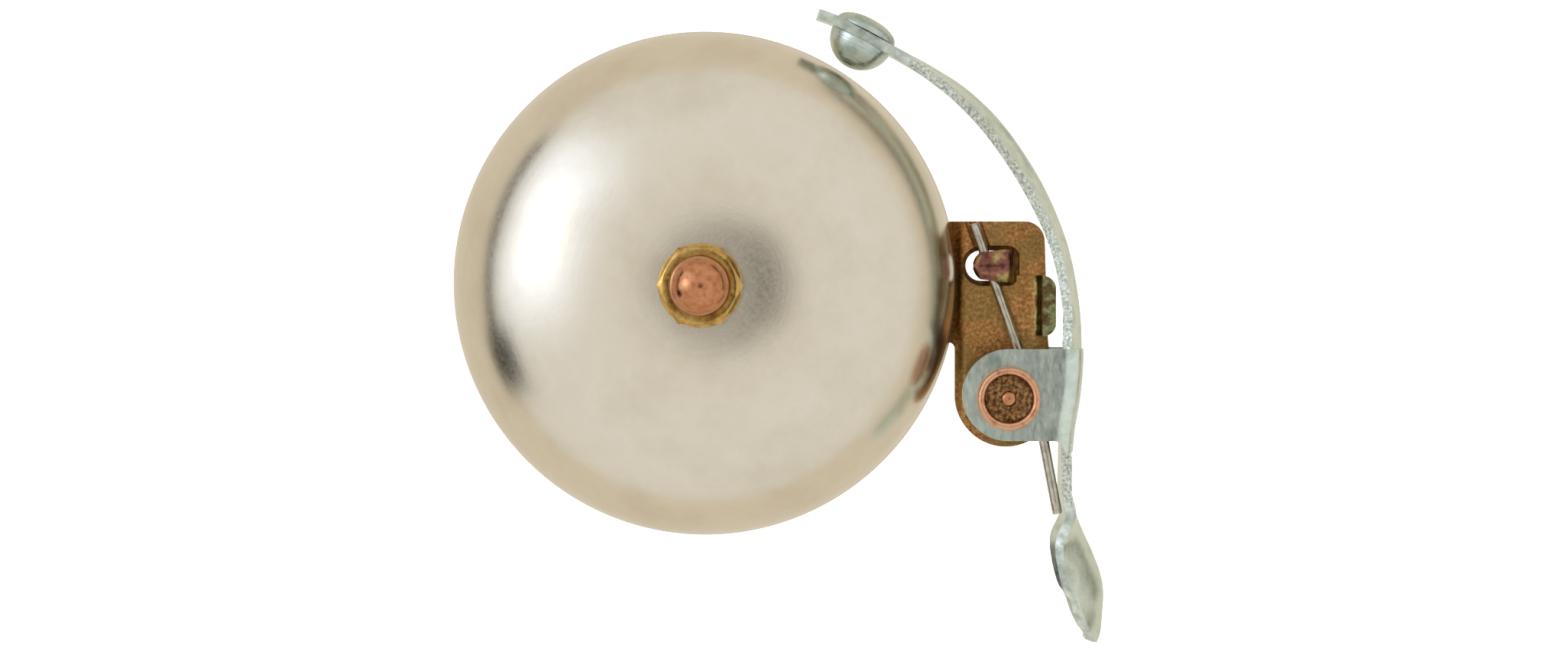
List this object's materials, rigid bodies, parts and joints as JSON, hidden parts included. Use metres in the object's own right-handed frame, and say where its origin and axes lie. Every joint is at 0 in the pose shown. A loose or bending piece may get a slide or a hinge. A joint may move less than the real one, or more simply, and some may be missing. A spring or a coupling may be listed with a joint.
{
  "type": "bicycle bell",
  "caption": "Handlebar bell: round metal dome on a band clamp, with a sprung curved thumb lever that carries a striker on its far end.",
  "frame": {"origin": "on the handlebar's axis, midway along the band clamp and straight under the dome's centre", "axes": "+Z along the dome's axis, away from the handlebar; the handlebar runs along Y with the thumb paddle at -Y; the lever is on the +X side"},
  "size_m": [0.0711, 0.069, 0.0592],
  "materials": {
    "satin_nickel": "satin, spun",
    "yellow_zinc": "yellow-passivated zinc",
    "blue_zinc": "blue-white zinc",
    "copper": "copper-plated",
    "brass": "polished",
    "spring_steel": "bright drawn wire",
    "steel": "plain",
    "rubber": "matte",
    "red_fibre": "vulcanised fibre"
  },
  "bodies": {
    "base": {"dome": "satin_nickel", "cap_nut_body": "brass", "cap_nut_crown": "copper", "dome_washer": "brass", "fibre_washer": "red_fibre", "spacer_sleeve": "steel", "base_nut": "yellow_zinc", "tooth_washer": "steel", "centre_bolt": "steel", "bracket": "yellow_zinc", "clamp_band": "yellow_zinc", "bar_liner": "rubber", "clamp_lock_washer": "steel", "clamp_nut": "yellow_zinc", "pivot_rivet": "copper", "pivot_washer": "steel", "return_spring": "spring_steel"},
    "striking_lever": {"lever": "blue_zinc", "striker": "blue_zinc"},
    "band_screw": {"clamp_screw": "yellow_zinc"}
  },
  "joints": [
    {"name": "lever_pivot", "type": "hinge", "parent": "base", "child": "striking_lever", "pos_m": [0.0329, -0.01235, 0.0203], "axis": [0, 0, -1], "range_deg": [-1, 22], "stiffness_Nm_per_rad": 0.25, "deforming": ["return_spring"]},
    {"name": "clamp_screw_turn", "type": "hinge", "parent": "base", "child": "band_screw", "pos_m": [-0.01786, 0, 0], "axis": [0, 0, 1], "continuous": true}
  ]
}
